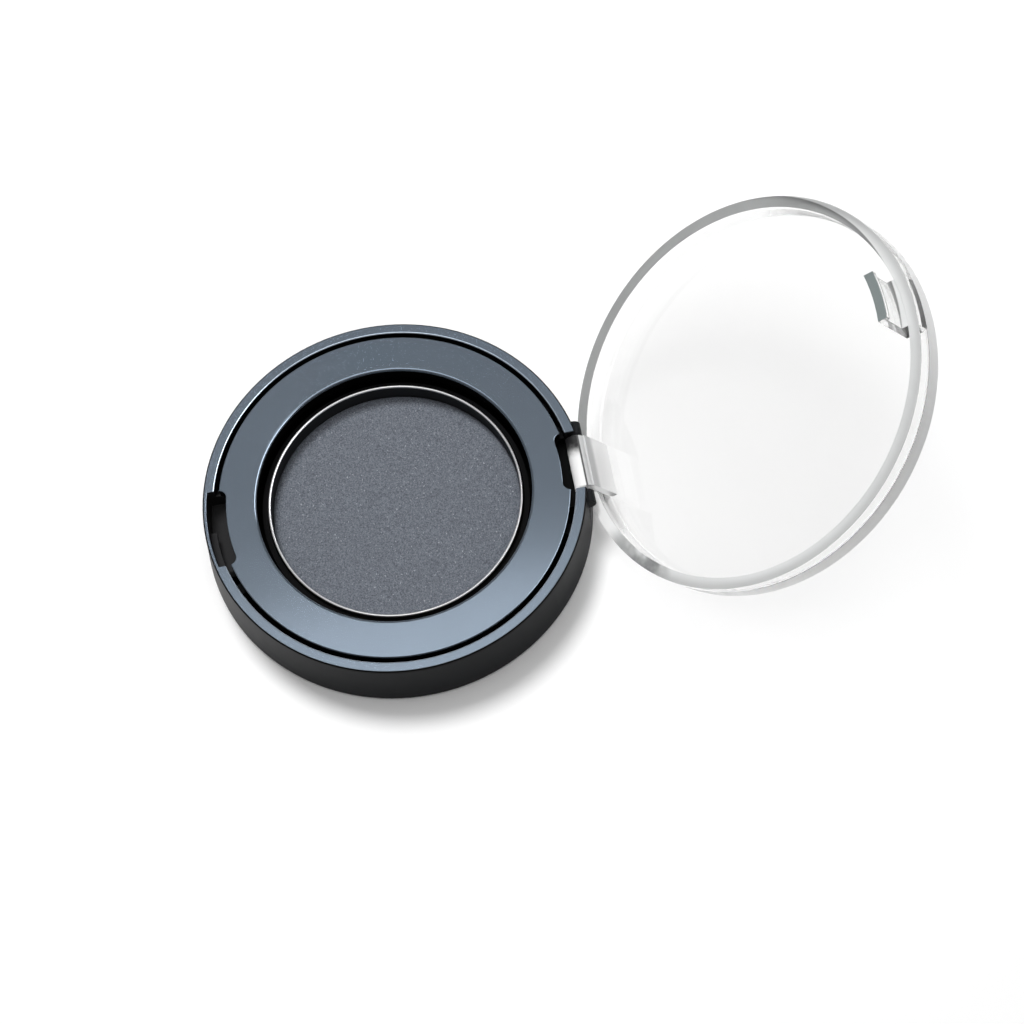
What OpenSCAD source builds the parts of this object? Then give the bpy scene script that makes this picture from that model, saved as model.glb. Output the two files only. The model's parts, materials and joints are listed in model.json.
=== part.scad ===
// Round single-pan compact: a moulded case with a hinged clear lid over a pan of pressed powder.
// Millimetres. +Z is up, the origin is the centre of the case's underside, and the hinge is at +Y.
// The lid is drawn fully open, which is its resting place.

/* [Case] */
// Height of the case up to the plane that the lid closes on
case_h = 6.2; // [6.1:0.1:8]
// Thickness of the case's floor
floor_t = 1.2; // [0.8:0.1:1.6]
// Thickness of the case's round wall
wall_t = 1.6; // [1.4:0.1:1.8]
// How far the wall's outer face leans in from its foot to its top
wall_lean = 0.5; // [0.2:0.05:0.6]
// Radius of the two edges at the top of the wall
land_edge_r = 0.15; // [0.1:0.05:0.3]
// Radius of the rounded edge under the wall
foot_r = 0.4; // [0.2:0.05:0.6]
// Number of ribs that carry the face ring
rib_count = 8; // [4:4:16]
// Width of each rib
rib_w = 1.2; // [0.8:0.1:1.6]
// Reach of each rib under the face ring
rib_reach = 0.6; // [0.4:0.1:0.8]

/* [Face ring] */
// Width of the face ring, from the well to the groove
ring_w = 3.9; // [3.5:0.1:6]
// Width of the dark groove between the face ring and the wall
groove_w = 0.5; // [0.3:0.05:0.7]
// Thickness of the face ring's flat plate
plate_t = 1.3; // [1:0.1:1.5]
// Wall of the sleeve that lines the well
sleeve_t = 1; // [0.7:0.1:1.2]
// Radial gap between the pan and the sleeve
well_gap = 1; // [0.9:0.05:1.2]
// Radius of the soft edge around the well
well_edge_r = 0.3; // [0.1:0.05:0.4]
// Radius of the face ring's outer edge
ring_edge_r = 0.12; // [0.05:0.01:0.2]

/* [Pan and powder] */
// Outer diameter of the metal pan
pan_d = 26; // [20:0.5:36]
// Depth of the pan's rim below the top of the case
pan_drop = 1.4; // [1:0.1:1.8]
// Thickness of the pan's sheet metal
pan_t = 0.25; // [0.2:0.05:0.4]
// Depth of the powder below the pan's rim
powder_drop = 2; // [1:0.1:2.2]
// Thickness of the collar that centres the pan
collar_t = 0.6; // [0.4:0.05:0.7]
// Depth of the collar's top below the pan's rim
collar_drop = 0.7; // [0.4:0.1:1.2]
// Radial clearance of the pan in its collar
pan_clearance = 0.1; // [0.05:0.01:0.2]
// Diameter of the spot of adhesive under the pan
glue_d = 9; // [5:1:14]
// Thickness of the adhesive
glue_t = 0.1; // [0.05:0.01:0.2]

/* [Lid] */
// Height of the lid above the case when it is shut
lid_h = 3.7; // [3:0.1:3.8]
// Thickness of the lid's flat top
lid_t = 1.2; // [0.8:0.1:1.6]
// Thickness of the lid's skirt
skirt_t = 1.15; // [0.9:0.05:1.3]
// Radius of the lid's rounded outer edge
lid_edge_r = 0.55; // [0.3:0.05:0.7]
// Radius inside the lid, where the skirt meets the top
lid_inner_r = 0.4; // [0.2:0.05:0.6]
// Gap between the skirt and the case when the lid is shut
seat_gap = 0.05; // [0.02:0.01:0.1]
// Angle that the lid opens to
open_angle = 144; // [135:1:145]

/* [Hinge] */
// Distance of the hinge pin's axis in from the case's outer wall
pin_inset = 0.9; // [0.8:0.05:1]
// Depth of the hinge pin's axis below the top of the case
pin_drop = 1.4; // [1.4:0.05:1.5]
// Diameter of the hinge pin
pin_d = 0.8; // [0.6:0.05:0.9]
// Radial running clearance of the pin in the lid's lug
pin_clearance = 0.05; // [0.02:0.01:0.08]
// Radial gap around the pin where the case grips it
pin_grip_gap = 0.01; // [0.01:0.01:0.02]
// Width of the opening that the lug works in
hinge_w = 6.4; // [5.6:0.1:7.2]
// Gap on each side of the lug
lug_side_gap = 0.3; // [0.15:0.05:0.4]
// Radius of the lug's round end
lug_r = 1; // [0.9:0.05:1.05]
// Depth of the lug, measured in from the pin's axis
lug_depth = 1.2; // [1:0.1:1.4]
// Set-back of the lug's flat back from the skirt's outer face
lug_setback = 0.05; // [0.02:0.01:0.1]
// Gap under the lug's round end
lug_floor_gap = 0.12; // [0.08:0.01:0.16]
// Length of the ear on each side of the opening
ear_l = 1.4; // [1.2:0.1:2]
// Radius of each ear around the pin
ear_r = 0.85; // [0.75:0.05:0.9]
// Clearance of the open lid from the case behind the hinge
swing_gap = 0.3; // [0.2:0.05:0.35]
// Gap between the open lug's flat back and its stop in the case
stop_gap = 0.02; // [0.01:0.01:0.05]

/* [Catch] */
// Width of the catch on the lid
catch_w = 5.2; // [4:0.1:5.4]
// Sideways place of the catch on the lid
catch_x = -0.6; // [-0.6:0.1:0]
// Room in the catch's opening beyond the catch's -X side
catch_side_gap = 0.5; // [0.5:0.1:1]
// Room for a fingernail in the opening beyond the catch's +X side
nail_gap = 2.7; // [2:0.1:3]
// Length of the catch below the lid's rim
catch_l = 2.9; // [2.6:0.1:3]
// Thickness of the catch's leg
catch_t = 0.7; // [0.6:0.05:0.8]
// Gap between the catch's leg and the inner side of its opening
catch_gap = 0.25; // [0.2:0.05:0.3]
// Reach of the catch's nose beyond its leg
nose_reach = 0.3; // [0.2:0.05:0.4]
// Height of the catch's nose
nose_h = 0.55; // [0.4:0.05:0.7]
// Height above the lid's rim at which the catch joins the skirt
catch_root_gap = 0.25; // [0.1:0.05:0.5]
// Clearance of the catch's nose past the keeper
nose_clearance = 0.08; // [0.05:0.01:0.15]
// Height of the keeper ledge that the nose sits under
keeper_h = 0.6; // [0.4:0.05:0.7]
// Length of the keeper ledge
keeper_l = 4.6; // [3.6:0.1:5]
// Thickness of the case's wall left in front of the opening
skin_t = 0.9; // [0.7:0.05:1.1]

/* [Openings] */
// Distance from the groove to the inner edge of the two openings
opening_depth = 0.8; // [0.6:0.05:1]
// Radius of the openings' inner corners
opening_corner_r = 0.8; // [0.4:0.05:1]
// Thickness of the case's material around and under the openings
pocket_wall_t = 0.8; // [0.6:0.05:1]

/* [Hidden] */
$fn = 96;
CUT = 0.5;                                       // overrun of every cutting tool
JOIN = 0.2;                                      // how far shapes of one moulding run into each other
ARC_STEPS = 8;                                   // straight steps in a rounded edge

pan_r = pan_d / 2;
well_r = pan_r + well_gap;                       // inside of the sleeve
sleeve_r = well_r + sleeve_t;
ring_r = well_r + ring_w;                        // outside of the face ring
wall_in_r = ring_r + groove_w;                   // inside of the wall, and outside of the groove
case_r = wall_in_r + wall_t;
lean_angle = atan(wall_lean / case_h);
seat_z = case_h - plate_t;                       // tops of the ribs, and underside of the plate
pan_z = floor_t + glue_t;
pan_top_z = case_h - pan_drop;
powder_z = pan_z + pan_t;
powder_top_z = pan_top_z - powder_drop;
powder_r = pan_r - pan_t;
collar_in_r = pan_r + pan_clearance;
collar_top_z = pan_top_z - collar_drop;

rib_in_r = ring_r - rib_reach;
rib_first_angle = 180 / rib_count;

opening_r = ring_r - opening_depth;              // inner edge of both openings
pocket_r = opening_r - pocket_wall_t;

axis_y = case_r - pin_inset;
axis_z = case_h - pin_drop;
pin_r = pin_d / 2;
lug_hw = hinge_w / 2 - lug_side_gap;
lug_back = pin_inset - lug_setback;              // flat back of the lug, measured out from the axis
ear_hw = hinge_w / 2 + ear_l;
pin_blind_x = ear_hw - pin_r;                    // closed end of the pin's bore
pin_open_x = -ear_hw;                            // end of the pin at the bore's mouth
bore_out_x = -case_r / 2;                        // the bore runs out through the wall
way_out_y = axis_y - lug_r / 5;                  // inner edge of the lug's way out of the case
pocket_floor_z = axis_z - lug_r - lug_floor_gap;
way_out_z = axis_z - norm([pin_inset, pin_drop]) - swing_gap;

rim_z = case_h + seat_gap;
lid_top_z = case_h + lid_h;
lid_under_z = lid_top_z - lid_t;
skirt_in_r = case_r - skirt_t;

skin_r = case_r - skin_t;                        // outer face of the catch opening
catch_x0 = catch_x - catch_w / 2;
catch_opening_x0 = catch_x0 - catch_side_gap;
catch_opening_x1 = catch_x0 + catch_w + nail_gap;
leg_in_r = opening_r + catch_gap;
leg_out_r = leg_in_r + catch_t;
nose_r = leg_out_r + nose_reach;
keeper_r = nose_r + nose_clearance;
catch_end_z = case_h - catch_l;
keeper_z = catch_end_z + nose_h + nose_clearance;
catch_floor_z = catch_end_z - catch_gap;

// Points of a rounded corner: centre, radius, first and last angle
function arc(c, r, a0, a1) =
    [for (i = [0 : ARC_STEPS]) let (a = a0 + (a1 - a0) * i / ARC_STEPS) c + r * [cos(a), sin(a)]];

// Height of a circle above the X axis at x
function chord_y(r, x) = sqrt(r * r - x * x);

// A ring between two radii and two heights
module tube(r_out, r_in, z0, z1) {
    translate([0, 0, z0])
        difference() {
            cylinder(r = r_out, h = z1 - z0);
            translate([0, 0, -CUT]) cylinder(r = r_in, h = z1 - z0 + 2 * CUT);
        }
}

// Everything with x between x0 and x1 and y beyond the radius r, with rounded inner corners.
// It reaches out to the radius r_out.
module opening_plan(x0, x1, r, r_out, corner) {
    y0 = chord_y(r + corner, x0 + corner);
    y1 = chord_y(r + corner, x1 - corner);
    intersection() {
        circle(r = r_out);
        union() {
            difference() {
                translate([x0 + corner, 0]) square([x1 - x0 - 2 * corner, case_r + CUT]);
                circle(r = r);
            }
            translate([x0, y0]) square([x1 - x0, case_r]);
            translate([(x0 + x1) / 2, y1]) square([(x1 - x0) / 2, case_r]);
            translate([x0 + corner, y0]) circle(r = corner);
            translate([x1 - corner, y1]) circle(r = corner);
        }
    }
}

// Plan of the opening at the hinge
module hinge_plan() {
    opening_plan(-hinge_w / 2, hinge_w / 2, opening_r, case_r + ear_r, opening_corner_r);
}

// Plan of the catch's opening, with the hinge's side mirrored to -Y
module catch_plan() {
    mirror([0, 1])
        opening_plan(catch_opening_x0, catch_opening_x1, opening_r, skin_r, opening_corner_r);
}

// Turns what is drawn shut about the hinge pin to where it is when open
module opened() {
    translate([0, axis_y, axis_z])
        rotate([-open_angle, 0, 0])
            translate([0, -axis_y, -axis_z]) children();
}

// A rod along X on the hinge's axis
module axis_rod(r, x0, x1) {
    translate([x0, axis_y, axis_z]) rotate([0, 90, 0]) cylinder(r = r, h = x1 - x0);
}

// Floor and wall of the case as one turned shape
module case_body() {
    rotate_extrude()
        polygon(concat(
            [[0, 0]],
            arc([case_r - foot_r, foot_r], foot_r, -90, lean_angle),
            arc([case_r - wall_lean - land_edge_r, case_h - land_edge_r], land_edge_r, lean_angle, 90),
            arc([wall_in_r + land_edge_r, case_h - land_edge_r], land_edge_r, 90, 180),
            [[wall_in_r, floor_t], [0, floor_t]]
        ));
}

// Material around one of the two openings, inside the wall and under the face ring
module pocket_block(x0, x1, side) {
    intersection() {
        tube(wall_in_r + JOIN, pocket_r, floor_t - JOIN, seat_z);
        translate([x0, side > 0 ? 0 : -case_r, 0]) cube([x1 - x0, case_r, case_h]);
    }
}

// Ribs that stand on the floor and carry the face ring
module ribs() {
    for (i = [0 : rib_count - 1])
        rotate([0, 0, rib_first_angle + i * 360 / rib_count])
            translate([rib_in_r, -rib_w / 2, floor_t - JOIN])
                cube([wall_in_r - rib_in_r + JOIN, rib_w, seat_z - floor_t + JOIN]);
}

// Space for the lug: the pocket, its way out through the wall, and the stop's sloping face
module lug_space() {
    translate([0, 0, pocket_floor_z]) linear_extrude(case_h) hinge_plan();
    translate([-hinge_w / 2, way_out_y, way_out_z]) cube([hinge_w, case_r, case_h]);
    opened()
        translate([-hinge_w / 2, axis_y - lug_back, axis_z])
            cube([hinge_w, 2 * lug_back + stop_gap, pin_drop + CUT]);
}

// Space behind the hinge for the rim of the open lid
module rim_space() {
    opened()
        translate([-ear_hw, axis_y, case_h - swing_gap])
            cube([2 * ear_hw, pin_inset + swing_gap, case_h]);
}

// Ledge at one end of the catch's opening
module keeper() {
    intersection() {
        tube(skin_r + JOIN, keeper_r, keeper_z, keeper_z + keeper_h);
        translate([catch_opening_x1 - keeper_l, -case_r, 0]) cube([keeper_l + JOIN, case_r, case_h]);
    }
}

// The moulded case: floor, wall, pan collar, ribs, hinge ears and catch pocket
module base_shell() {
    color("#2f3a47")
        difference() {
            union() {
                difference() {
                    union() {
                        case_body();
                        tube(collar_in_r + collar_t, collar_in_r, floor_t - JOIN, collar_top_z);
                        ribs();
                        pocket_block(-ear_hw, ear_hw, 1);
                        pocket_block(
                            catch_opening_x0 - pocket_wall_t, catch_opening_x1 + pocket_wall_t, -1
                        );
                        axis_rod(ear_r, -ear_hw, ear_hw);
                    }
                    lug_space();
                    rim_space();
                    translate([0, 0, catch_floor_z]) linear_extrude(case_h) catch_plan();
                }
                keeper();
            }
            axis_rod(pin_r + pin_grip_gap, bore_out_x, pin_blind_x);
        }
}

// The flat ring that frames the powder, with the sleeve that lines the well
module face_ring() {
    color("#75869a")
        difference() {
            rotate_extrude()
                polygon(concat(
                    [[well_r, floor_t]],
                    arc([well_r + well_edge_r, case_h - well_edge_r], well_edge_r, 180, 90),
                    arc([ring_r - ring_edge_r, case_h - ring_edge_r], ring_edge_r, 90, 0),
                    [[ring_r, seat_z], [sleeve_r, seat_z], [sleeve_r, floor_t]]
                ));
            translate([0, 0, floor_t]) linear_extrude(case_h) hinge_plan();
            translate([0, 0, floor_t]) linear_extrude(case_h) catch_plan();
        }
}

// The drawn metal pan
module pan() {
    color("#c9ccd0")
        rotate_extrude()
            polygon(concat(
                [[0, pan_z]],
                arc([pan_r - 2 * pan_t, pan_z + 2 * pan_t], 2 * pan_t, -90, 0),
                [[pan_r, pan_top_z], [powder_r, pan_top_z]],
                arc([powder_r - pan_t, powder_z + pan_t], pan_t, 0, -90),
                [[0, powder_z]]
            ));
}

// The cake of pressed powder that fills the pan
module pressed_powder() {
    color("#6c7179")
        rotate_extrude()
            polygon(concat(
                [[0, powder_z]],
                arc([powder_r - pan_t, powder_z + pan_t], pan_t, -90, 0),
                [[powder_r, powder_top_z], [0, powder_top_z]]
            ));
}

// The spot of adhesive that holds the pan to the floor
module pan_adhesive() {
    color("#e8e4d6")
        translate([0, 0, floor_t]) cylinder(d = glue_d, h = glue_t);
}

// The steel pin, gripped in the ears and running in the lug
module hinge_pin() {
    color("#b8bcc0") axis_rod(pin_r, pin_open_x, pin_blind_x);
}

// The lid's top and skirt as one turned shape, drawn shut
module lid_cap() {
    rotate_extrude()
        polygon(concat(
            [[0, lid_under_z]],
            arc([skirt_in_r - lid_inner_r, lid_under_z - lid_inner_r], lid_inner_r, 90, 0),
            [[skirt_in_r, rim_z], [case_r, rim_z]],
            arc([case_r - lid_edge_r, lid_top_z - lid_edge_r], lid_edge_r, 0, 90),
            [[0, lid_top_z]]
        ));
}

// The lug that hangs from the skirt into the case and turns on the pin, drawn shut
module lid_lug() {
    axis_rod(lug_r, -lug_hw, lug_hw);
    intersection() {
        translate([-lug_hw, axis_y - lug_depth, axis_z])
            cube([2 * lug_hw, lug_depth + lug_back, lid_under_z - axis_z + JOIN]);
        cylinder(r = case_r, h = lid_top_z);
    }
}

// The catch that drops into the front opening, drawn shut
module lid_catch() {
    intersection() {
        union() {
            tube(leg_out_r, leg_in_r, catch_end_z, lid_under_z + JOIN);
            tube(nose_r, leg_in_r, catch_end_z, catch_end_z + nose_h);
            tube(skirt_in_r + JOIN, leg_in_r, rim_z + catch_root_gap, lid_under_z + JOIN);
        }
        translate([catch_x0, -case_r, 0]) cube([catch_w, case_r, lid_top_z]);
    }
}

// The clear lid with its lug and catch
module lid() {
    color("#e9eef0", 0.35)
        opened()
            difference() {
                union() {
                    lid_cap();
                    lid_lug();
                    lid_catch();
                }
                axis_rod(pin_r + pin_clearance, -hinge_w, hinge_w);
            }
}

base_shell();
face_ring();
pan();
pressed_powder();
pan_adhesive();
hinge_pin();
lid();
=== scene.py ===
# %% [markdown]
# # A single-pan compact, open, with its clear lid laid back
#
# The packed model is the frame. It already holds every piece at its real size and the joint that carries the
# lid, so this script adds only looks. A model could also be drawn again from nothing in Blender, but then two
# sets of sizes would have to agree. Here sizes come from the frame's boxes, and the few that no box can give
# are named once. Millimetres are turned into metres by `MM`.

# %% Load the frame
import json
import math

import bmesh
import bpy
import numpy as np
from mathutils import Matrix, Vector


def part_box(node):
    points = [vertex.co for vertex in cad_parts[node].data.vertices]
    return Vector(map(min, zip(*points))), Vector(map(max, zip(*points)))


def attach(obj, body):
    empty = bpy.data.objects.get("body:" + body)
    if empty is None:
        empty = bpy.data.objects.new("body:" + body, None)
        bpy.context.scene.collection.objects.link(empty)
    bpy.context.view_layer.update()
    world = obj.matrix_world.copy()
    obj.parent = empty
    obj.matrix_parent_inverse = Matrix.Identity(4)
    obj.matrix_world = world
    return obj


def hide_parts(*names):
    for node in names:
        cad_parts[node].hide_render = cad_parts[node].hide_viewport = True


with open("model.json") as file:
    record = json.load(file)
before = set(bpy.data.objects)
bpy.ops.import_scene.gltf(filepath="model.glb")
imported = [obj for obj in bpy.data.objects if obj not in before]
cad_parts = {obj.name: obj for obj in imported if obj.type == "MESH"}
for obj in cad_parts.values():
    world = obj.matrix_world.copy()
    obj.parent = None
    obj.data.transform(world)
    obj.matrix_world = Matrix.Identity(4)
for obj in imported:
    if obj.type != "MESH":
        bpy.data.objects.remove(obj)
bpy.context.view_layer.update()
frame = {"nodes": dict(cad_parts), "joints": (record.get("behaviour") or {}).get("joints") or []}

MM = 0.001

# %% [markdown]
# ## Sizes from the frame
#
# Each box is a node's lowest and highest corner. Half a round node's width is its radius, and its top is a
# height. The hinge gives the pin's axis. The end of its range is the angle from open to shut, which is needed
# because the lid stands open in the frame, while its flats and edges are easiest to tell apart when it is shut.

# %% Read the boxes and the hinge
case_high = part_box("base_shell")[1]
ring_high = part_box("face_ring")[1]
pan_low, pan_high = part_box("pan")
cake_low, cake_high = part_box("pressed_powder")
hinge = frame["joints"][0]

case_r = case_high[0]
case_top = case_high[2]
ring_r = ring_high[0]
pan_r = pan_high[0]
pan_base = pan_low[2]
pan_top = pan_high[2]
cake_r = cake_high[0]
cake_base = cake_low[2]
cake_top = cake_high[2]
sheet_t = pan_r - cake_r
axis_y, axis_z = hinge["pos_m"][1:]
open_angle = math.radians(hinge["range_deg"][1])
print("case radius", case_r, "ring radius", ring_r, "pan radius", pan_r, "hinge at", axis_y, axis_z)

# %% [markdown]
# ## Shader maths as plain arithmetic
#
# A material is a small network of nodes. Written out node by node it is long and hard to read, so one class
# wraps an output socket and turns `a * b + 1` into Math nodes. The reflected forms make `1 - mask` work too.
# Colours keep clear of Math nodes, which would turn them grey, and go through Mix.


# %% An output that can be added and multiplied
class Wire:
    """The output of a node. Arithmetic on it adds Math nodes to the same network."""

    def __init__(self, network, socket):
        self.network = network
        self.socket = socket

    def maths(self, operation, first, second):
        return self.network.node("ShaderNodeMath", {"operation": operation}, {0: first, 1: second})

    def __add__(self, other):
        return self.maths("ADD", self, other)

    def __radd__(self, other):
        return self.maths("ADD", other, self)

    def __sub__(self, other):
        return self.maths("SUBTRACT", self, other)

    def __rsub__(self, other):
        return self.maths("SUBTRACT", other, self)

    def __mul__(self, other):
        return self.maths("MULTIPLY", self, other)

    def __rmul__(self, other):
        return self.maths("MULTIPLY", other, self)

    def __pow__(self, other):
        return self.maths("POWER", self, other)

    def step(self, low, high):
        """0 below `low`, 1 above `high`, and a smooth rise between. With high below low it falls."""
        rise = self.network.node("ShaderNodeMapRange", {"interpolation_type": "SMOOTHSTEP"}, {
            "Value": self, "From Min": min(low, high), "From Max": max(low, high)})
        return 1 - rise if high < low else rise


print("a wire understands:", [name for name in vars(Wire) if name.startswith("__")])

# %% [markdown]
# Every other node comes from one method. It makes the node's settings first, because some of them change which
# sockets the node has, and then fills its sockets with plain values or with wires.


# %% A network of nodes
class Network:
    """A node tree, with the few ways of adding to it that this file needs."""

    def __init__(self, tree):
        self.tree = tree
        self.place = self.node("ShaderNodeTexCoord", out="Object")
        self.x, self.y, self.z = self.apart(self.place)

    def node(self, kind, settings=None, values=None, out=0):
        """Any node: its settings are made first, then its sockets get values or links."""
        made = self.tree.nodes.new(kind)
        for key, value in (settings or {}).items():
            setattr(made, key, value)
        for key, value in (values or {}).items():
            self.fill(made.inputs[key], value)
        return Wire(self, made.outputs[out])

    def fill(self, socket, value):
        """Link a wire to a socket, or write a plain value into it."""
        if isinstance(value, Wire):
            self.tree.links.new(value.socket, socket)
        elif isinstance(value, tuple) and socket.type == "RGBA":
            socket.default_value = (*value, 1)
        else:
            socket.default_value = value

    def apart(self, place):
        """The x, y and z of a place, as three wires."""
        outputs = self.node("ShaderNodeSeparateXYZ", {}, {0: place}).socket.node.outputs
        return [Wire(self, socket) for socket in outputs]

    def from_middle(self):
        """Distance from the upright axis: the square root of x * x + y * y."""
        return (self.x * self.x + self.y * self.y) ** 0.5


print("a network can:", [name for name in vars(Network) if not name.startswith("__")])

# %% [markdown]
# A finish is a network that ends in one Principled shader. Every surface here could have its own kind of shader,
# such as Glass for the lid, but Principled covers them all, and its sockets carry over to other programs.


# %% A finish
class Finish(Network):
    """A material with one Principled shader. What is the same all over goes straight onto its sockets."""

    def __init__(self, name, **fixed):
        self.material = bpy.data.materials.new(name)
        self.material.use_nodes = True
        super().__init__(self.material.node_tree)
        self.shader = self.tree.nodes["Principled BSDF"]
        self.feed(**fixed)

    def feed(self, **values):
        """Fill sockets of the Principled shader; Base_Color stands for Base Color."""
        for name, value in values.items():
            self.fill(self.shader.inputs[name.replace("_", " ")], value)

    def noise(self, size, detail=3.0, rough=0.55):
        """Soft blotches about `size` metres across, from 0 to 1."""
        return self.node("ShaderNodeTexNoise", {"noise_dimensions": "3D"}, {
            "Vector": self.place, "Scale": 1 / size, "Detail": detail, "Roughness": rough})

    def blend(self, factor, first, second):
        """Colour that goes from `first` to `second` as the factor goes from 0 to 1."""
        made = self.tree.nodes.new("ShaderNodeMix")
        made.data_type = "RGBA"
        for place, value in ((0, factor), (6, first), (7, second)):
            self.fill(made.inputs[place], value)
        return Wire(self, made.outputs[2])

    def relief(self, height, depth, strength):
        """Bump whose height of 1 stands `depth` metres proud."""
        self.feed(Normal=self.node("ShaderNodeBump", {}, {
            "Height": height, "Distance": depth, "Strength": strength}))

    def let_light_through(self, share, bare=0.0):
        """Clear pieces hardly dim a lamp: this share of it passes straight on as each face is crossed.

        `bare` is how much of the finish is missing, so that one sees straight through it.
        """
        path = self.node("ShaderNodeLightPath", out="Is Shadow Ray")
        clear = self.node("ShaderNodeBsdfTransparent")
        mixed = self.node("ShaderNodeMixShader", {}, {
            0: 1 - (1 - path * share) * (1 - bare), 1: Wire(self, self.shader.outputs[0]), 2: clear})
        self.tree.links.new(mixed.socket, self.tree.nodes["Material Output"].inputs["Surface"])

    def done(self):
        """The material, once all its nodes are in."""
        print(self.material.name, "takes", len(self.tree.nodes), "nodes")
        return self.material


print("a finish can:", [name for name in vars(Finish) if not name.startswith("__")])

# %% [markdown]
# ## From CAD solid to piece
#
# A CAD node's mesh is loose triangles. It is left alone, and a copy is merged: points that coincide become one,
# and the triangles of a flat or of a narrow strip become one face again. Then the faces are shaded smooth with
# creases at the real edges. Drawing the shells again would give the same surfaces with more work, so only the
# pan and the powder, whose real forms are softer than the solids, are new.

# %% Merge a copy of a node
JOIN_WITHIN = 1e-7
FLAT_WITHIN_DEG = 0.3


def merged(node, name):
    """A copy of a CAD node's mesh with its loose triangles joined and its flats made whole."""
    shape = bmesh.new()
    shape.from_mesh(frame["nodes"][node].data)
    bmesh.ops.remove_doubles(shape, verts=shape.verts, dist=JOIN_WITHIN)
    bmesh.ops.dissolve_limit(shape, angle_limit=math.radians(FLAT_WITHIN_DEG), verts=shape.verts,
                             edges=shape.edges)
    mesh = bpy.data.meshes.new(name)
    shape.to_mesh(mesh)
    shape.free()
    print(name, "starts as", len(mesh.vertices), "points and", len(mesh.polygons), "faces")
    return mesh


def sharpen(mesh, angle_deg):
    """Shade smooth, with a crease wherever two faces meet at more than the angle."""
    shape = bmesh.new()
    shape.from_mesh(mesh)
    for face in shape.faces:
        face.smooth = True
    limit = math.radians(angle_deg)
    for edge in shape.edges:
        edge.smooth = len(edge.link_faces) == 2 and edge.calc_face_angle(0) < limit
    shape.to_mesh(mesh)
    shape.free()


print("points within", JOIN_WITHIN, "m are joined, and faces within", FLAT_WITHIN_DEG, "degrees made one")

# %% [markdown]
# A moulded edge is never quite sharp, and the hairline of light along it is what makes it look real. The edges
# could be rounded in the mesh itself, but a Bevel modifier keeps the mesh simple and the radius one number. Each
# piece is hung on the empty of the body it rides on, gets its finish in a material slot and hides the node it
# stands for.

# %% Dress a piece and soften its edges
EDGE_ROUND = 0.05 * MM
CREASE_DEG = 40
BEVEL_DEG = 35


def dress(mesh, name, material, body, node):
    """Make an object of a mesh, hang it on its body's empty, give it its finish and hide the node it stands for.
    """
    piece = bpy.data.objects.new(name, mesh)
    bpy.context.scene.collection.objects.link(piece)
    mesh.materials.append(material)
    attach(piece, body)
    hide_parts(node)
    print(name, "rides on", body, "and has", len(mesh.polygons), "faces and the finish", material.name)
    return piece


def soften(piece):
    """Round the edges that meet at more than the angle, and keep the flats beside them flat in the light."""
    bevel = piece.modifiers.new("softened edges", "BEVEL")
    bevel.width = EDGE_ROUND
    bevel.segments = 2
    bevel.limit_method = "ANGLE"
    bevel.angle_limit = math.radians(BEVEL_DEG)
    bevel.use_clamp_overlap = False
    bevel.harden_normals = False
    normals = piece.modifiers.new("even shading", "WEIGHTED_NORMAL")
    normals.keep_sharp = True


print("edges of more than", BEVEL_DEG, "degrees are rounded by", EDGE_ROUND / MM, "mm")

# %% [markdown]
# ## The case
#
# The case is dark, apart from its land, which is the flat top of the wall. Inside the wall it is painted near
# black, a painted shade in the groove and the pockets, and in the catch's notch a lighter grey is painted for the
# light on its ledge. The land has the slate colour of the ring, and two painted lines show its edges: a black one
# of painted shade where the colour stops short of the outer edge, and a pale one along the inner edge, a painted
# highlight. Two materials on two sets of faces could do it, but the lines are thinner than the faces, so one
# finish works out from the radius and the height where a point is. The slate is mostly metallic, so that it
# mirrors the softbox, and a fine grain in the roughness breaks the mirror up.

# %% Sizes of the case that no box gives
groove_w = 0.5 * MM
wall_in_r = ring_r + groove_w
land_r = case_r - 0.5 * MM
print("inside of the wall", wall_in_r, "outside of the land", land_r)

# %% Colours of the case and the ring
SLATE = (0.205, 0.250, 0.305)
CHARCOAL = (0.0100, 0.0108, 0.0125)
# Painted shade: the near black inside the wall, in the groove and the pockets.
SHADE_BLACK = (0.0030, 0.0031, 0.0034)
# Painted shade: the deeper black of the line under the land's edge and of the well's sleeve.
DEEP_SHADE_BLACK = (0.0012, 0.0012, 0.0014)
# Painted light: the lighter grey in the catch's notch, for the light on its ledge.
NOTCH_LIGHT_GREY = (0.026, 0.026, 0.027)
# Painted highlight: the pale line along the land's inner edge.
EDGE_HIGHLIGHT = (0.62, 0.71, 0.82)
SLATE_METAL = 0.75
PLASTIC_IOR = 1.5
GRAIN = 0.10 * MM
GRAIN_DEPTH = 0.001 * MM
NOTCH_MIDDLE_X = 0.5 * MM
NOTCH_HALF = 4.4 * MM
NOTCH_Y = -16.6 * MM
print("the ring and the land are", SLATE, "and the wall is", CHARCOAL)


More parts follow.
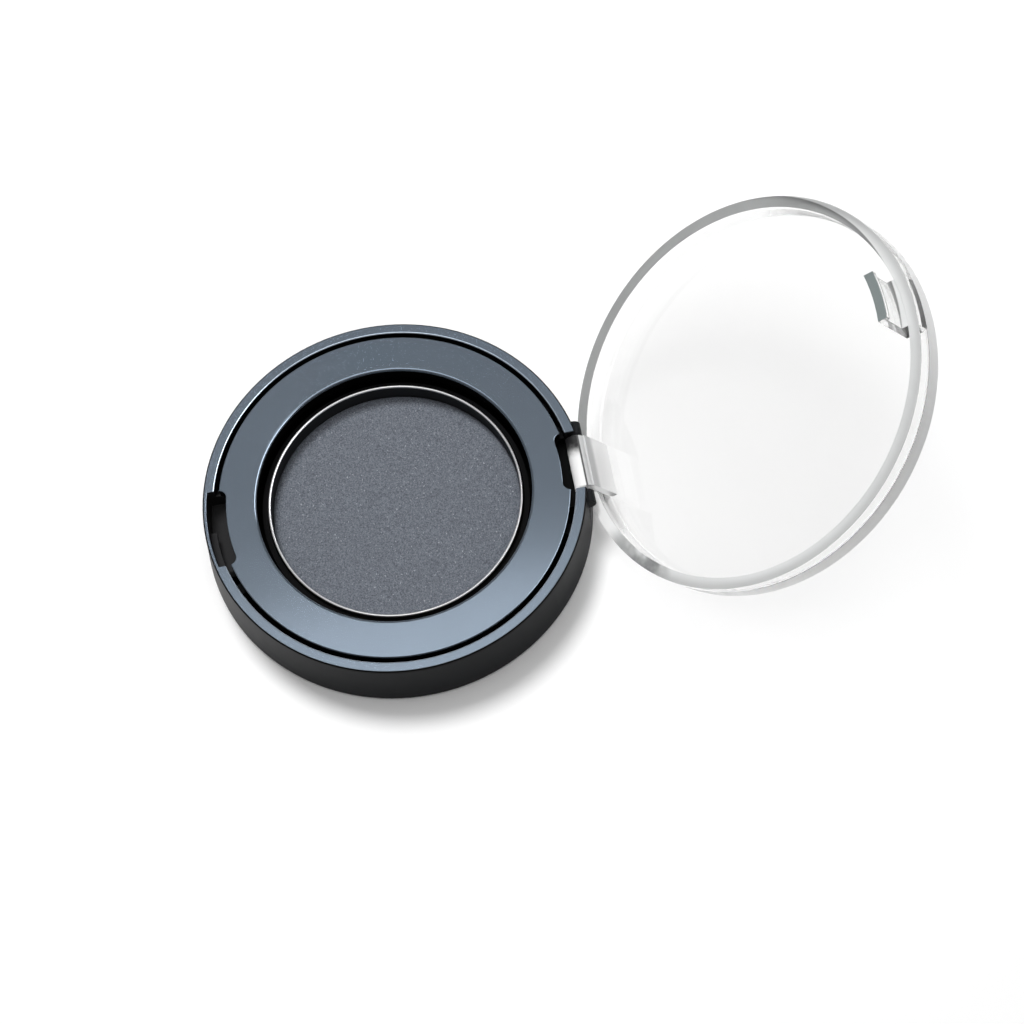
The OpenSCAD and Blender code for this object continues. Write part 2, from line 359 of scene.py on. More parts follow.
# %% The case's finish
def case_finish():
    """Charcoal wall, painted black inside for shade, a lighter grey painted in the catch's notch for the light on
    its ledge, and a slate land between a painted dark line and a painted highlight.
    """
    finish = Finish("case_slate_and_charcoal", IOR=PLASTIC_IOR, Specular_IOR_Level=0.06)
    grain = finish.noise(GRAIN, 2.0)
    cloud = finish.noise(6.0 * MM)
    reach = finish.from_middle()
    sideways = ((finish.x - NOTCH_MIDDLE_X) ** 2.0) ** 0.5
    outside = reach.step(wall_in_r + 0.7 * MM, wall_in_r + 0.9 * MM)
    # The catch's notch is painted a lighter grey, standing in for the light on its ledge.
    in_notch = finish.y.step(NOTCH_Y + 0.2 * MM, NOTCH_Y - 0.2 * MM) * (1 - outside)
    in_notch = in_notch * sideways.step(NOTCH_HALF + 0.1 * MM, NOTCH_HALF - 0.1 * MM)
    # Inside the wall the case is painted near black, a painted shade in the groove and the pockets.
    wall = finish.blend(outside, finish.blend(in_notch, SHADE_BLACK, NOTCH_LIGHT_GREY), CHARCOAL)
    # A painted dark line of shade at the top of the wall, under the land's outer edge.
    edge_shade_line = outside * finish.z.step(case_top - 0.42 * MM, case_top - 0.30 * MM)
    wall = finish.blend(edge_shade_line, wall, DEEP_SHADE_BLACK)
    within = reach.step(land_r - 0.12 * MM, land_r - 0.20 * MM)
    land = finish.z.step(case_top - 0.14 * MM, case_top - 0.04 * MM) * within
    # A painted highlight along the rounded inner edge of the land.
    edge_highlight = reach.step(wall_in_r + 0.14 * MM, wall_in_r + 0.09 * MM)
    finish.feed(Base_Color=finish.blend(land, wall, finish.blend(edge_highlight, SLATE, EDGE_HIGHLIGHT)),
                Metallic=land * SLATE_METAL,
                Roughness=0.34 + grain * 0.06 + cloud * 0.06 - land * 0.20)
    finish.relief(grain, GRAIN_DEPTH, 0.5)
    return finish.done()


case_look = case_finish()

# %% The case's body
case_mesh = merged("base_shell", "case_body")
sharpen(case_mesh, CREASE_DEG)
case_body = dress(case_mesh, "case_body", case_look, "case", "base_shell")
soften(case_body)

# %% [markdown]
# ## The face ring
#
# The ring is a piece of its own, set in behind a dark groove, with a sleeve under it that lines the well. Only
# its flat top has the slate finish, smoother than the land's. The sleeve is painted black, a painted shade that
# makes the well look deep. Two materials could be used here too, but the height alone tells the two parts apart.


# %% The ring's finish and body
def ring_finish():
    """Satin slate on the flat top, painted black for shade in the well and under the plate."""
    finish = Finish("ring_slate", IOR=PLASTIC_IOR, Specular_IOR_Level=0.10)
    grain = finish.noise(GRAIN, 2.0)
    cloud = finish.noise(7.0 * MM)
    face = finish.z.step(case_top - 0.30 * MM, case_top - 0.10 * MM)
    # Below the flat top the ring is painted deep black, a painted shade in the well.
    finish.feed(Base_Color=finish.blend(face, DEEP_SHADE_BLACK, SLATE), Metallic=face * SLATE_METAL,
                Roughness=0.085 + grain * 0.03 + cloud * 0.05)
    finish.relief(grain, GRAIN_DEPTH, 0.5)
    return finish.done()


ring_look = ring_finish()
ring_mesh = merged("face_ring", "ring_face")
sharpen(ring_mesh, CREASE_DEG)
ring_face = dress(ring_mesh, "ring_face", ring_look, "case", "face_ring")
soften(ring_face)

# %% [markdown]
# ## Turned shapes from arrays
#
# A pan and a cake of powder are round, so each is a profile carried round an axis. The profile could be spun by
# a Screw modifier, but an array of points lets the powder's edge crumble and its top wave afterwards, point by
# point and without a loop. Rows run along the profile and columns run round the piece.


# %% Profile to points to mesh
SEAM_WITHIN = 1e-8


def arc(centre, radius, first, last, steps):
    """Points of an arc, angles in degrees: centre + radius * (cosine, sine)."""
    angle = np.radians(np.linspace(first, last, steps + 1))
    return np.stack([centre[0] + radius * np.cos(angle), centre[1] + radius * np.sin(angle)], axis=-1).tolist()


def turned(profile, columns):
    """Points of a turned shape: (radius * cosine, radius * sine, height) for each angle round the axis."""
    profile = np.array(profile)
    angle = np.linspace(0, 2 * np.pi, columns, endpoint=False)
    radius = profile[:, 0, None]
    height = np.repeat(profile[:, 1, None], columns, axis=1)
    return np.stack([radius * np.cos(angle), radius * np.sin(angle), height], axis=-1)


def grid_mesh(name, points):
    """Mesh of a rows x columns x 3 array whose columns close on themselves and whose end rows lie on the axis."""
    rows, columns = points.shape[:2]
    row = np.arange(rows - 1)[:, None]
    column = np.arange(columns)[None, :]
    ahead = (column + 1) % columns
    quads = np.stack([row * columns + column, row * columns + ahead,
                      (row + 1) * columns + ahead, (row + 1) * columns + column], axis=-1)
    mesh = bpy.data.meshes.new(name)
    mesh.from_pydata(points.reshape(-1, 3).tolist(), [], quads.reshape(-1, 4).tolist())
    shape = bmesh.new()
    shape.from_mesh(mesh)
    bmesh.ops.remove_doubles(shape, verts=shape.verts, dist=SEAM_WITHIN)
    shape.to_mesh(mesh)
    shape.free()
    return mesh


print("three points of a quarter arc:", np.round(arc((0, 0), 1, 0, 90, 2), 3).tolist())

# %% [markdown]
# ## The pan
#
# Such a pan is usually drawn from thin sheet: a flat bottom, a rounded foot and a lip that is rolled over. The lip
# is the bright line round the powder. It could be a torus laid on a cup, but one profile that goes up the outside,
# over a half circle and down the inside gives the same sheet all the way. Only the lip is bright. The sheet
# below it is painted near black, a painted shade, because the wall above the powder looks black.


# %% The pan's finish
def tin_finish():
    """Bright lip. The cup below it is painted near black, a painted shade."""
    finish = Finish("pan_tin", Specular_IOR_Level=0.1)
    lines = finish.noise(0.09 * MM, 2.0)
    lip = finish.z.step(pan_top - 0.22 * MM, pan_top - 0.10 * MM)
    bright = finish.blend(lines, (0.90, 0.90, 0.91), (0.96, 0.96, 0.96))
    # Below the lip the cup is painted near black, a painted shade.
    finish.feed(Base_Color=finish.blend(lip, (0.022, 0.024, 0.026), bright), Metallic=lip * 0.85,
                Roughness=0.30 + lines * 0.06 + (1 - lip) * 0.25)
    return finish.done()


tin_look = tin_finish()

# %% The pan's cup
PAN_COLUMNS = 192
TURNED_CREASE_DEG = 50
lip_r = sheet_t / 2
foot_r = 2 * sheet_t
pan_profile = (
    [(0.0, pan_base)]
    + arc((pan_r - foot_r, pan_base + foot_r), foot_r, -90, 0, 8)
    + arc((pan_r - lip_r, pan_top - lip_r), lip_r, 0, 180, 12)
    + arc((cake_r - sheet_t, cake_base + sheet_t), sheet_t, 0, -90, 6)
    + [(0.0, cake_base)]
)
pan_mesh = grid_mesh("tin_pan", turned(pan_profile, PAN_COLUMNS))
sharpen(pan_mesh, TURNED_CREASE_DEG)
dress(pan_mesh, "tin_pan", tin_look, "case", "pan")

# %% [markdown]
# ## The powder
#
# Pressed powder is matt and grey, with grains of a tenth of a millimetre, a few paler specks and soft patches.
# The grains are far too small to model, so they are noise in the colour and the bump. The form is modelled: the
# edge crumbles where the cake meets the tin, and the top is not quite flat.


# %% The powder's finish
def powder_finish():
    """Matt grey powder with a fine grain and a few paler specks."""
    finish = Finish("powder_grey", IOR=1.4, Specular_IOR_Level=0.15, Roughness=0.95)
    grain = finish.noise(0.13 * MM, 4.0, 0.75)
    cloud = finish.noise(5.0 * MM)
    speck = finish.noise(0.15 * MM, 0.0).step(0.76, 0.85)
    body = finish.blend(grain.step(0.34, 0.66), (0.069, 0.077, 0.093), (0.205, 0.224, 0.258))
    body = finish.blend(cloud * 0.25, body, (0.13, 0.14, 0.16))
    finish.feed(Base_Color=finish.blend(speck * 0.5, body, (0.55, 0.57, 0.61)))
    finish.relief(grain, 0.03 * MM, 0.7)
    return finish.done()


powder_look = powder_finish()

# %% [markdown]
# Pressed powder is never quite even. A noise texture could be baked into the height, but a few sine waves that
# run in random directions give a soft, even unevenness for a whole array at once. A fixed seed gives the same
# waves on every run.


# %% Uneven heights
def wavy(points, waves, size, seed):
    """A soft uneven height from -1 to 1: the mean of plane waves that run in random directions."""
    chance = np.random.default_rng(seed)
    heading = chance.uniform(0, 2 * np.pi, waves)
    length = size * chance.uniform(0.6, 1.6, waves)
    shift = chance.uniform(0, 2 * np.pi, waves)
    along = points[..., 0, None] * np.cos(heading) + points[..., 1, None] * np.sin(heading)
    return np.sin(2 * np.pi * along / length + shift).mean(axis=-1)


print("wavy gives", wavy.__doc__)

# %% The powder's cake
CAKE_COLUMNS = 256
FOOT_STEPS = 6
EDGE_WORN = 0.03 * MM
EDGE_CRUMBLE = 0.05 * MM
TOP_WAVE = 0.02 * MM
cake_profile = (
    [(0.0, cake_base)]
    + arc((cake_r - sheet_t, cake_base + sheet_t), sheet_t, -90, 0, FOOT_STEPS)
    + [(cake_r, cake_top - 0.16 * MM), (cake_r - 0.06 * MM, cake_top - 0.06 * MM)]
    + [(cake_r - 0.16 * MM, cake_top - 0.02 * MM)]
    + [(radius, cake_top) for radius in np.linspace(cake_r - 0.35 * MM, 0, 40)]
)
cake_points = turned(cake_profile, CAKE_COLUMNS)
edge_row = FOOT_STEPS + 3
brink = cake_points[edge_row:edge_row + 2]
worn_off = EDGE_WORN + EDGE_CRUMBLE * np.abs(wavy(brink, waves=14, size=0.9 * MM, seed=5))
brink[..., :2] *= (1 - worn_off / np.hypot(brink[..., 0], brink[..., 1]))[..., None]
top = cake_points[edge_row:]
top[..., 2] -= TOP_WAVE * (1 + wavy(top, waves=16, size=2.2 * MM, seed=8))
cake_mesh = grid_mesh("powder_cake", cake_points)
sharpen(cake_mesh, TURNED_CREASE_DEG)
dress(cake_mesh, "powder_cake", powder_look, "case", "pressed_powder")
print("the powder's edge is worn back by up to", round(float(worn_off.max() / MM), 3), "mm")

# %% [markdown]
# ## The lid
#
# The lid is one clear piece, but its faces look different. The window and the skirt are polished. The rim's flat
# end is dull, and its greys are painted light and shade. The outer edge is a dull skin painted pale, a painted
# light, round the catch, and clearer towards the hinge. The thick lug at the hinge is milky, with painted shade
# where it sits in the notch, and the catch ends in a face painted a darker grey for shade. One material could
# work all that out from the place of a point, but the faces meet at sharp edges, so each face gets its own
# finish instead, and the finishes only vary within a face.
#
# Clear plastic needs care with light. A lamp's rays that meet glass count as blocked, which would give the lid a
# black shadow, so each finish lets a share of shadow rays straight through.

# %% Places on the lid that no box gives
lid_under = case_top + 2.5 * MM
lid_middle_y = 35.4 * MM
rim_middle_r = 19.4 * MM
lug_half = 2.9 * MM
lug_depth = 1.2 * MM
lug_turn_y = 19.3 * MM
print("underside of the shut lid", lid_under, "middle of the open lid", lid_middle_y)

# %% [markdown]
# The rim's painted grey of light and shade changes round the circle, so its finish needs an angle. The lid stands
# open and tilted, and `along` is the distance from its middle measured in its own plane. With x it gives the
# angle by ARCTAN2: 0 at the right, positive towards the catch, negative towards the hinge.

# %% The rim's painted greys of light and shade, and the way along the lid
CLEAR_IOR = 1.49
# Painted light and shade for the rim's flat end: greys by the hinge and at the crossing, a streak, pale tones and
# a white highlight.
HINGE_SHADE_GREYS = ((0.245, 0.251, 0.251), (0.305, 0.311, 0.311))
CROSSING_SHADE_GREY = (0.13, 0.133, 0.133)
STREAK_SHADE_GREY = (0.15, 0.155, 0.155)
RIM_LIGHT_GREYS = ((0.70, 0.71, 0.71), (0.47, 0.477, 0.477))
RIM_HIGHLIGHT_WHITE = (0.90, 0.90, 0.90)
CROSSING_TURN = 2.21
CROSSING_SLANT = 680.0


def along_lid(finish):
    """Distance from the middle of the open lid towards its catch, measured in the lid's own plane."""
    return (finish.y - lid_middle_y) * (-1 / math.cos(open_angle))


print("the lid's own plane is tilted so that", round(-math.cos(open_angle), 3), "of a length shows from above")

# %% [markdown]
# ### The polished plastic
#
# The window is as clear as glass. Transmission with the plastic's index of refraction bends what is behind it,
# which a Transparent shader would not. A trace of uneven roughness keeps it from looking like a perfect lens.

# %% The polished plastic
def clear_finish():
    """Clear moulded plastic, polished, with the faintest unevenness."""
    finish = Finish("lid_clear", Base_Color=(0.998, 0.998, 0.996), Transmission_Weight=1.0, IOR=CLEAR_IOR)
    haze = finish.noise(3.0 * MM)
    finish.feed(Roughness=0.005 + haze * 0.03)
    finish.let_light_through(0.98)
    return finish.done()


clear_look = clear_finish()

# %% [markdown]
# ### The rim's flat end
#
# The flat end is a narrow band whose painted greys of light and shade change round the circle. A colour ramp on
# the angle could do it, but the change from pale to grey crosses the band at a slant, so the angle and the radius
# are combined, and each stretch is laid over the last with a mask.

# %% The rim's flat end
def ground_finish():
    """Dull, with painted light and shade: mid grey by the hinge, darker at the crossing, a painted streak below
    the hinge, pale elsewhere.

    `past` is how far the angle has gone beyond a slanting line across the rim, where the painted shade starts.
    """
    finish = Finish("lid_ground_face", Transmission_Weight=0.35, IOR=CLEAR_IOR)
    grain = finish.noise(0.12 * MM, 2.0)
    cloud = finish.noise(3.0 * MM)
    along = along_lid(finish)
    reach = (finish.x * finish.x + along * along) ** 0.5
    turn = finish.node("ShaderNodeMath", {"operation": "ARCTAN2"}, {0: along, 1: finish.x})
    past = turn - CROSSING_TURN - (reach - rim_middle_r) * CROSSING_SLANT
    # All these greys are painted light and shade round the rim: grey by the hinge, darker at the crossing, a
    # painted streak below the hinge, pale elsewhere and a painted white highlight.
    shaded_side = past.step(-0.05, 0.05)
    hinge_shaded = turn.step(-1.5, -1.6)
    grey = finish.blend(past.step(0.40, 0.0) * shaded_side, finish.blend(cloud, *HINGE_SHADE_GREYS), CROSSING_SHADE_GREY)
    painted_streak = turn.step(-1.22, -0.95) * turn.step(-0.66, -0.80) * cloud.step(0.30, 0.62)
    across = reach.step(rim_middle_r - 0.45 * MM, rim_middle_r + 0.45 * MM)
    pale = finish.blend(painted_streak, finish.blend(across, *RIM_LIGHT_GREYS), STREAK_SHADE_GREY)
    pale = finish.blend(turn.step(-1.08, -1.20), pale, RIM_HIGHLIGHT_WHITE)
    finish.feed(Base_Color=finish.blend(1 - (1 - shaded_side) * (1 - hinge_shaded), pale, grey),
                Roughness=0.30 + grain * 0.10)
    finish.let_light_through(0.88)
    return finish.done()


ground_look = ground_finish()

# %% [markdown]
# ### The outer edge
#
# A clear wall seen edge-on is dark, but this edge is pale. It could be made white with emission, but then it
# would glow in other light. A dull skin that scatters light, painted pale as a painted light for what shows in the
# clear edge, does it plainly, and where it fades, a Transparent shader is mixed in.

# %% The outer edge
def edge_finish():
    """A dull skin painted pale grey, a painted light where a clear wall would look dark. It fades by the hinge."""
    finish = Finish("lid_dull_edge", Transmission_Weight=0.06, IOR=CLEAR_IOR)
    cloud = finish.noise(3.0 * MM)
    # The pale colour of the dull skin is painted light, for what shows in the clear edge.
    finish.feed(Base_Color=finish.blend(cloud, (0.93, 0.933, 0.933), (0.98, 0.98, 0.98)),
                Roughness=0.30 + cloud * 0.10)
    # Towards the hinge the painted pale skin gives way to clear plastic.
    skin_fades = (finish.x + along_lid(finish)).step(-2.0 * MM, -12.0 * MM)
    finish.let_light_through(0.94, skin_fades * 0.85)
    return finish.done()


edge_look = edge_finish()

# %% [markdown]
# ### The catch's end
#
# The end of the catch is painted the darkest grey of the lid, a painted shade. It could share the rim's finish,
# but that one's shades follow the circle, so a plain one of its own is simpler to set.

# %% The catch's end
def catch_end_finish():
    """The catch's flat end, painted a darker grey for shade, with a breath of green."""
    finish = Finish("catch_ground_face", Transmission_Weight=0.15, IOR=CLEAR_IOR)
    grain = finish.noise(0.12 * MM, 2.0)
    # The dark grey is painted shade. The breath of green is the plastic's own.
    finish.feed(Base_Color=finish.blend(grain, (0.165, 0.195, 0.195), (0.205, 0.235, 0.235)),
                Roughness=0.32 + grain * 0.10)
    finish.let_light_through(0.70)
    return finish.done()


catch_look = catch_end_finish()

# %% [markdown]
# ### The lug
#
# The lug is the thickest part, and looks clouded. Volume scattering inside it would be closest to the real
# thing, but it is slow and does not carry over to other programs. A milky surface with little transmission
# looks much the same from outside. Down in the case's notch its colour is painted shade, with a painted dark
# line where it leaves the notch and a painted grey just outside. Its sides are only frosted.

# %% The lug
def milky_finish():
    """The thick lug: the same plastic, clouded white, with painted shade down in the notch.

    Three zones follow y: `deep` lies in the case's notch, a painted dark line of shade marks where it leaves it,
    and
    `far` is the pale part on the lid, with a painted grey shade just before it. In the notch the painted shade
    turns white along x, with an edge broken up by noise.
    """
    finish = Finish("lid_milky", Transmission_Weight=0.20, IOR=CLEAR_IOR)
    cloud = finish.noise(1.2 * MM)
    # Down in the notch the colour is painted shade, a painted dark line marks where the lug leaves it, and the
    # grey just outside is painted shade too.
    deep = finish.y.step(lug_turn_y + 0.04 * MM, lug_turn_y - 0.04 * MM) * finish.y.step(0, 1 * MM)
    shade = (finish.x + (cloud - 0.5) * 2.0 * MM).step(-2.2 * MM, -0.2 * MM)
    inside = finish.blend(shade, (0.016, 0.016, 0.017), (0.95, 0.95, 0.95))
    far = finish.y.step(lug_turn_y + 1.2 * MM, lug_turn_y + 1.6 * MM)
    outside = finish.blend(far, (0.60, 0.605, 0.61), (0.98, 0.98, 0.98))
    line_starts = finish.y.step(lug_turn_y - 0.06 * MM, lug_turn_y)
    line_ends = finish.y.step(lug_turn_y + 0.20 * MM, lug_turn_y + 0.12 * MM)
    body = finish.blend(deep, outside, inside)
    finish.feed(Base_Color=finish.blend(line_starts * line_ends, body, (0.06, 0.06, 0.062)),
                Roughness=0.30 + cloud * 0.10)
    finish.let_light_through(0.80)
    return finish.done()


def lug_side_finish():
    """The lug's two sides: clear plastic with a frosted skin, nearly white against a pale table."""
    finish = Finish("lug_frosted_side", Transmission_Weight=0.75, IOR=CLEAR_IOR)
    cloud = finish.noise(1.5 * MM)
    finish.feed(Base_Color=finish.blend(cloud, (0.95, 0.955, 0.955), (0.99, 0.99, 0.99)),
                Roughness=0.28 + cloud * 0.12)
    finish.let_light_through(0.85)
    return finish.done()


milky_look = milky_finish()
lug_side_look = lug_side_finish()

# %% [markdown]
# To hand out the finishes, the middle and the direction of every face are turned back about the pin to where
# they are when the lid is shut. There, the rim's end faces straight down, the catch hangs below the rim, and the
# lug stands at the hinge. The catch's sides stay clear. The dull outer edge starts part-way up the wall, where
# no edge runs, so a plane adds one first.


# %% Turn the open lid shut
def shut_again(points):
    """Points turned back about the pin: y and z from the axis, through cosine and sine of the open angle."""
    across = points[:, 1] - axis_y
    height = points[:, 2] - axis_z
    cosine = math.cos(open_angle)
    sine = math.sin(open_angle)
    return np.stack([points[:, 0], axis_y + across * cosine - height * sine,
                     axis_z + across * sine + height * cosine], axis=-1)


def faces_shut(mesh):
    """Each face's middle and direction with the lid shut. A direction is the difference of two places."""
    count = len(mesh.polygons)
    centres = np.empty(count * 3)
    normals = np.empty(count * 3)
    mesh.polygons.foreach_get("center", centres)
    mesh.polygons.foreach_get("normal", normals)
    origin = shut_again(np.zeros((1, 3)))
    return shut_again(centres.reshape(-1, 3)), shut_again(normals.reshape(-1, 3)) - origin


def cut_across(mesh, place, normal):
    """Add a ring of edges where a plane crosses the mesh; the surface itself stays as it was."""
    shape = bmesh.new()
    shape.from_mesh(mesh)
    everything = shape.verts[:] + shape.edges[:] + shape.faces[:]
    bmesh.ops.bisect_plane(shape, geom=everything, plane_co=place, plane_no=normal)
    shape.to_mesh(mesh)
    shape.free()


print("the open lid's middle, shut:", shut_again(np.array([[0, lid_middle_y, axis_z]])).round(4).tolist())

# %% The lid's mesh, cut where the dull edge starts
lid_mesh = merged("lid", "clear_lid")
edge_z = lid_under - 0.90 * MM
up_when_shut = Vector((0, math.sin(open_angle), math.cos(open_angle)))
cut_across(lid_mesh, Vector((0, axis_y, axis_z)) + up_when_shut * (edge_z - axis_z), up_when_shut)
sharpen(lid_mesh, CREASE_DEG)
middles, facing = faces_shut(lid_mesh)
print("the lid has", len(middles), "faces, shut between", middles[:, 2].min(), "and", middles[:, 2].max())

# %% Which faces get which finish
SLACK = 0.02 * MM
STRAIGHT = 0.98
CLEAR, GROUND, CATCH_END, MILKY, DULL_EDGE, LUG_SIDE = range(6)
middle_x, middle_y, middle_z = middles.T
spread = np.hypot(middle_x, middle_y)
faces_down = facing[:, 2] < -STRAIGHT

flat_end = faces_down & (middle_z < case_top + 1 * MM)
catch_end = flat_end & (middle_z < case_top - 1 * MM)

lug = (np.abs(middle_x) < lug_half + SLACK) & (middle_y > axis_y - lug_depth - SLACK)
lug &= (middle_z < lid_under - 0.05 * MM) & ~(faces_down & (middle_z > case_top + 2 * MM))
lug &= (middle_z < case_top) | (middle_y < case_r - 1.1 * MM)
lug_side = lug & (np.abs(facing[:, 0]) > 0.9)

outer_edge = (middle_z > edge_z) & (spread > case_r - 0.9 * MM)
outer_edge &= (facing[:, 2] < STRAIGHT) & (facing[:, 2] > -0.5)

looks = np.full(len(middles), CLEAR, dtype=np.int32)
for chosen, look in ((flat_end, GROUND), (catch_end, CATCH_END), (lug, MILKY), (outer_edge, DULL_EDGE),
                     (lug_side, LUG_SIDE)):
    looks[chosen] = look
print("faces of each look:", np.bincount(looks).tolist())

# %% The lid itself
lid_mesh.polygons.foreach_set("material_index", looks)
clear_lid = dress(lid_mesh, "clear_lid", clear_look, "lid", "lid")
for material in (ground_look, catch_look, milky_look, edge_look, lug_side_look):
    lid_mesh.materials.append(material)
soften(clear_lid)
print("finishes of the lid:", [material.name for material in lid_mesh.materials])

# %% [markdown]
# ## The adhesive and the pin
#
# A spot of adhesive is taken to hold the pan in the well, and a length of steel wire to be the hinge's pin. They
# could be drawn again as a drop and a wire, but both are simple and hardly show, so they keep their CAD meshes
# and only get real finishes: cured glue that is a little uneven, and drawn wire with fine marks.


# %% Finishes for the kept nodes
def glue_finish():
    """Cream adhesive, slightly uneven."""
    finish = Finish("adhesive_cream", Roughness=0.45)
    cloud = finish.noise(1.2 * MM)
    finish.feed(Base_Color=finish.blend(cloud, (0.72, 0.68, 0.57), (0.84, 0.81, 0.72)))
    finish.relief(cloud, 0.02 * MM, 0.5)
    return finish.done()


def steel_finish():
    """Drawn steel wire, brighter and darker in fine marks."""
    finish = Finish("pin_steel", Metallic=1.0)
    lines = finish.noise(0.06 * MM, 2.0)
    finish.feed(Base_Color=finish.blend(lines, (0.50, 0.51, 0.53), (0.64, 0.65, 0.67)),
                Roughness=0.22 + lines * 0.16)
    return finish.done()


for node, finish in (("pan_adhesive", glue_finish), ("hinge_pin", steel_finish)):
    frame["nodes"][node].material_slots[0].material = finish()
    print(node, "keeps its mesh and gets", frame["nodes"][node].material_slots[0].material.name)

# %% [markdown]
# ## The floor and the world
#
# The compact stands on a white table that has no end. The light stays plain, so that a colour renders as it is
# written, and the white comes from what a ray can see instead: a ray from the camera, straight or by way of
# clear or shiny pieces, finds a floor that glows a little near the compact and is plain white further off, and a
# world that is white too. Light that falls on the compact finds neither, because a ray that has already met a
# matt surface no longer counts. The floor keeps the shadow.


# %% What the camera's rays see
class Stage(Network):
    """The network of the floor or of the world, neither of which has a Principled shader."""

    def seen(self, *kinds):
        """1 for a ray of one of the kinds that has met no matt surface yet, otherwise 0."""
        total = self.node("ShaderNodeLightPath", out=kinds[0])
        for kind in kinds[1:]:
            total = total.maths("MAXIMUM", total, self.node("ShaderNodeLightPath", out=kind))
        return total * self.node("ShaderNodeLightPath", out="Diffuse Depth").step(0.6, 0.4)


print("a stage can:", [name for name in vars(Stage) if not name.startswith("__")])

# %% The floor
FLOOR_WHITE = (0.94, 0.94, 0.94)
FLOOR_GLOW = 0.03
FLOOR_HALF = 2.0
WHITE_FROM = 0.10
WHITE_BY = 0.22
scene = bpy.context.scene


def floor_material():
    """A matt white that shows the shadow, mixed far from the compact into plain white."""
    material = bpy.data.materials.new("studio_floor")
    material.use_nodes = True
    stage = Stage(material.node_tree)
    seen = stage.seen("Is Camera Ray", "Is Glossy Ray", "Is Transmission Ray")
    far = stage.from_middle().step(WHITE_FROM, WHITE_BY)
    matt = stage.node("ShaderNodeBsdfDiffuse", {}, {"Color": FLOOR_WHITE})
    glow = stage.node("ShaderNodeEmission", {}, {"Strength": seen * FLOOR_GLOW})
    near = stage.node("ShaderNodeAddShader", {}, {0: matt, 1: glow})
    white = stage.node("ShaderNodeEmission", {}, {"Strength": 1.0})
    whole = stage.node("ShaderNodeMixShader", {}, {0: seen * far, 1: near, 2: white})
    stage.fill(material.node_tree.nodes["Material Output"].inputs["Surface"], whole)
    return material


floor_mesh = bpy.data.meshes.new("studio_floor")
corners = [(x * FLOOR_HALF, y * FLOOR_HALF, 0) for x, y in ((-1, -1), (1, -1), (1, 1), (-1, 1))]
floor_mesh.from_pydata(corners, [], [(0, 1, 2, 3)])
floor_mesh.materials.append(floor_material())
floor = bpy.data.objects.new("studio_floor", floor_mesh)
scene.collection.objects.link(floor)
print("floor", 2 * FLOOR_HALF, "m square")

# %% [markdown]
# The world lights the compact softly from above. A sky texture would do, but its colours would tint the slate.
# A grey dome that is brighter overhead gives the slate something to mirror, and the camera sees plain white.

# %% The world
SKY_LOW = 0.05
SKY_RISE = 0.31
world = scene.world or bpy.data.worlds.new("studio")
scene.world = world
world.use_nodes = True
sky = Stage(world.node_tree)
heading = sky.node("ShaderNodeTexCoord", out="Generated")
height = sky.apart(heading)[2]
dome = SKY_LOW + height.step(0.35, 0.9) * SKY_RISE
shown = sky.seen("Is Camera Ray", "Is Transmission Ray")
background = world.node_tree.nodes["Background"]
background.inputs["Color"].default_value = (1, 1, 1, 1)
sky.fill(background.inputs["Strength"], dome.maths("MAXIMUM", dome, shown))
print("the world's light goes from", SKY_LOW, "at the horizon to", SKY_LOW + SKY_RISE, "overhead")

# %% [markdown]
# ## The lamps
#
# A big softbox overhead lights everything and is what the ring mirrors: its edge falls across the ring, so the
# half at the bottom of the frame is light and the other half dark. A smaller key lamp on the compact's left gives
# the soft shadow. A strip behind the hinge lights no matt surface and draws thin bright lines on the edges.
# One large lamp could light the object alone, but then neither the shadow nor the ring's change of tone could be
# set on its own. No lamp is seen through the clear lid, because its light already passes straight through.

# %% Place the lamps
LIT_POINT = Vector((0, 0.01, 0))


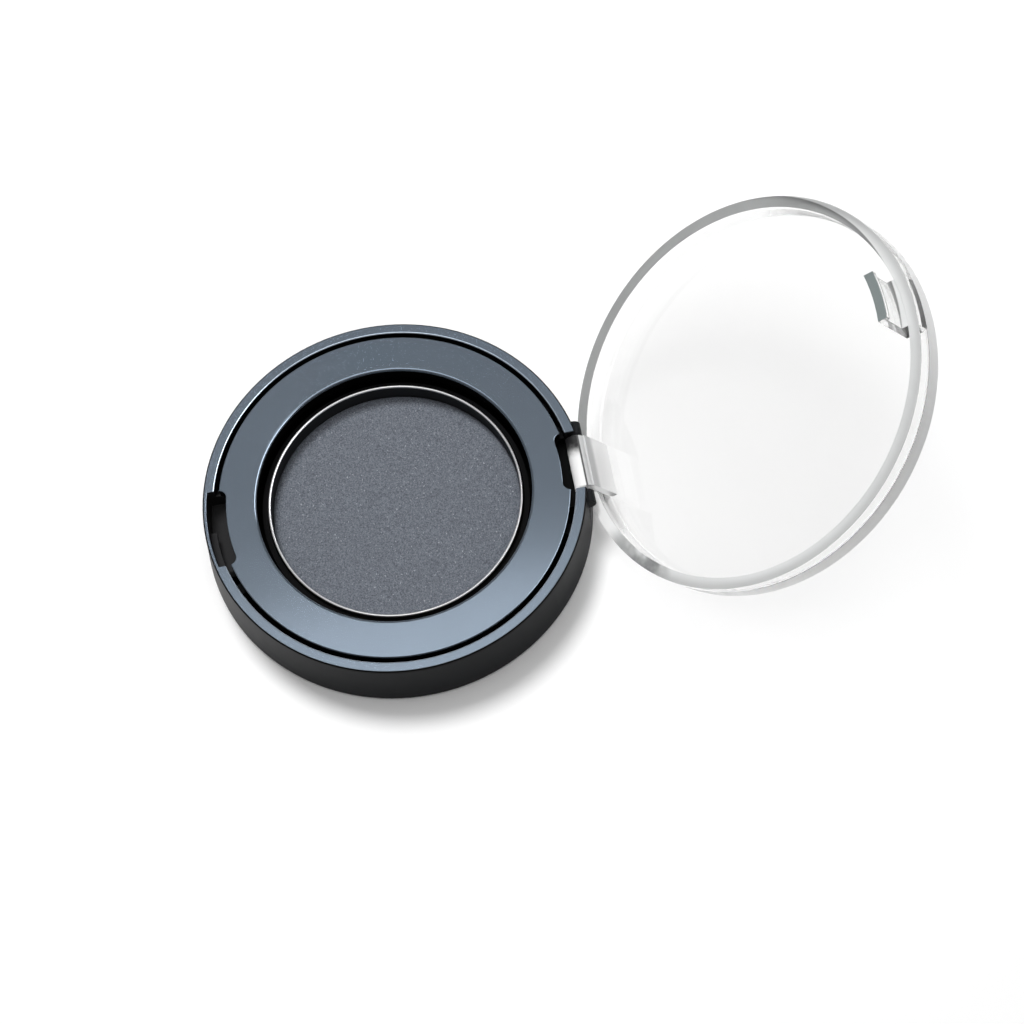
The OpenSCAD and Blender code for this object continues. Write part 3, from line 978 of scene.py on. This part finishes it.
def area_lamp(name, place, power, width, depth=None):
    """An area lamp that faces the compact: a disc of that width, or a rectangle where a depth is given."""
    light = bpy.data.lights.new(name, "AREA")
    light.shape = "RECTANGLE" if depth else "DISK"
    light.size = width
    light.size_y = depth or width
    light.energy = power
    lamp = bpy.data.objects.new(name, light)
    lamp.location = place
    lamp.rotation_mode = "QUATERNION"
    lamp.rotation_quaternion = (LIT_POINT - Vector(place)).to_track_quat("-Z", "Y")
    lamp.visible_transmission = False
    scene.collection.objects.link(lamp)
    print(name, power, "W, distance", round((LIT_POINT - Vector(place)).length, 3), "m")
    return lamp


area_lamp("softbox", (0.0, -0.012, 0.6), 1.00, 0.51)
key = area_lamp("key", (-0.32, -0.10, 0.62), 3.75, 0.24)
key.visible_glossy = False
strip = area_lamp("edge_light", (0.0, 0.50, 0.42), 3.7, 0.65, 0.30)
strip.visible_diffuse = False

# %% [markdown]
# ## The camera
#
# The camera looks steeply down from the compact's right, with the hinge to the right in the frame. It is given
# by the point it aims at, two angles, a roll and a distance, because each of those can be changed alone. A Track
# To constraint could aim it, but would leave no room for the roll.

# %% Place the camera
LENS_MM = 81.934
AIM = Vector((4.5447, 11.3606, 6.2)) * MM
AZIMUTH, ELEVATION, ROLL = (math.radians(angle) for angle in (-2.8697, 64.8973, -7.7186))
DISTANCE = 233.9287 * MM

camera_data = bpy.data.cameras.new("camera")
camera_data.sensor_width = 36.0
camera_data.lens = LENS_MM
camera_data.clip_start = 0.01
camera = bpy.data.objects.new("camera", camera_data)
scene.collection.objects.link(camera)
scene.camera = camera

level_part = math.cos(ELEVATION)
back = Vector((level_part * math.cos(AZIMUTH), level_part * math.sin(AZIMUTH), math.sin(ELEVATION)))
sideways = (-back).cross(Vector((0, 0, 1))).normalized()
upright = sideways.cross(-back)
right = sideways * math.cos(ROLL) + upright * math.sin(ROLL)
up = upright * math.cos(ROLL) - sideways * math.sin(ROLL)
camera.matrix_world = Matrix.Translation(AIM + back * DISTANCE) @ Matrix((right, up, back)).transposed().to_4x4()
scene.view_settings.view_transform = "Standard"
print("camera at", [round(value, 4) for value in camera.matrix_world.translation])

# %% [markdown]
